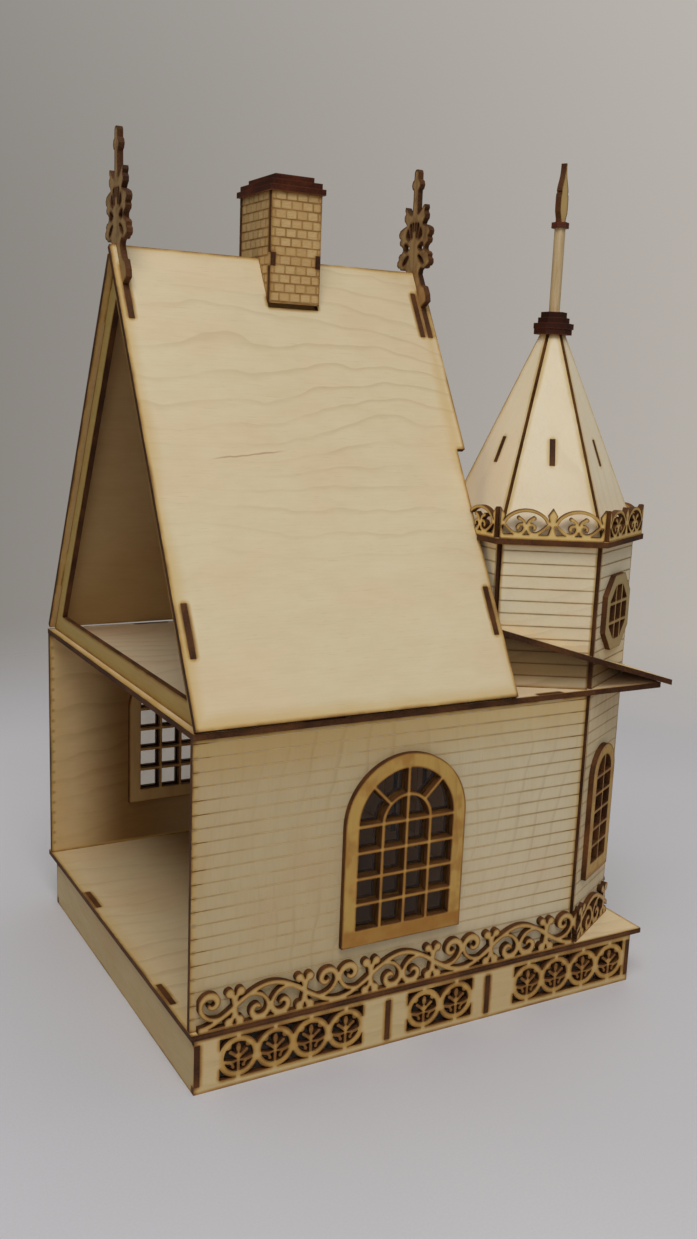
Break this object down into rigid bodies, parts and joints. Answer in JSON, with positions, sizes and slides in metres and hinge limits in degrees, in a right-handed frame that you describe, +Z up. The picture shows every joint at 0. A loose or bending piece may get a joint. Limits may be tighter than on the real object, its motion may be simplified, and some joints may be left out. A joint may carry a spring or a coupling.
{
  "type": "wooden dollhouse",
  "caption": "Laser-cut plywood dollhouse: rosette plinth, room open at one end, steep attic, chimney, and a hexagonal corner tower with railing, pyramid roof and spire.",
  "frame": {"origin": "centre of the footprint's bounding box, at the underside of the plinth", "axes": "+Z up; +X from the open end of the room to the porch end with the front door; +Y from the long wall beside the tower to the opposite long wall"},
  "size_m": [0.307, 0.2734, 0.49],
  "materials": {
    "wall_ply": "raw birch plywood, scored clapboard lines",
    "roof_ply": "raw birch plywood with charred cut edges",
    "floor_ply": "raw birch plywood with charred cut edges",
    "fretwork_ply": "raw birch plywood, toasted by fine cutting",
    "turned_wood": "plain round hardwood",
    "glazing": "clear thin sheet",
    "pin_steel": "bare wire pin"
  },
  "bodies": {
    "house": {"attic_floor": "floor_ply", "base_floor": "floor_ply", "bay_corner_post": "wall_ply", "bay_far_panel": "wall_ply", "bay_front_panel": "wall_ply", "bay_near_panel": "wall_ply", "bay_trims": "fretwork_ply", "bay_window_glazing": "glazing", "bay_window_sashes": "fretwork_ply", "chimney_cap_plates": "roof_ply", "chimney_far_panel": "roof_ply", "chimney_near_panel": "roof_ply", "chimney_side_panels": "roof_ply", "door_casing": "fretwork_ply", "door_hinge_pin": "pin_steel", "door_stop_frame": "fretwork_ply", "far_wall": "wall_ply", "far_wall_trim": "fretwork_ply", "far_window_glazing": "glazing", "far_window_inner_sash": "fretwork_ply", "far_window_outer_sash": "fretwork_ply", "front_finial": "fretwork_ply", "front_wall": "wall_ply", "gable_frame": "wall_ply", "gable_wall": "wall_ply", "gable_window_glazing": "glazing", "gable_window_sash": "fretwork_ply", "near_wall": "wall_ply", "near_wall_trim": "fretwork_ply", "near_window_glazing": "glazing", "near_window_inner_sash": "fretwork_ply", "near_window_outer_sash": "fretwork_ply", "open_end_finial": "fretwork_ply", "pent_roof": "roof_ply", "plinth_cross_ribs": "floor_ply", "plinth_far_panel": "floor_ply", "plinth_near_panel": "floor_ply", "plinth_open_end_panel": "floor_ply", "plinth_porch_end_panel": "floor_ply", "roof_far_panel": "roof_ply", "roof_near_panel": "roof_ply", "spire_collar": "roof_ply", "spire_spear": "roof_ply", "spire_spindle": "turned_wood", "tower_cap_plates": "roof_ply", "tower_cornice": "roof_ply", "tower_far_panel": "wall_ply", "tower_far_window_panel": "wall_ply", "tower_front_panel": "wall_ply", "tower_gable_panel": "wall_ply", "tower_near_panel": "wall_ply", "tower_railings": "fretwork_ply", "tower_roof_panels": "roof_ply", "tower_roof_ribs": "roof_ply", "tower_window_glazing": "glazing", "tower_window_panel": "wall_ply", "tower_window_sashes": "fretwork_ply"},
    "door": {"door_leaf": "wall_ply", "door_knob": "turned_wood"}
  },
  "joints": [
    {"name": "front_door_hinge", "type": "hinge", "parent": "house", "child": "door", "pos_m": [0.09073, 0.07554, 0.078], "axis": [0, 0, 1], "range_deg": [0, 95]}
  ]
}
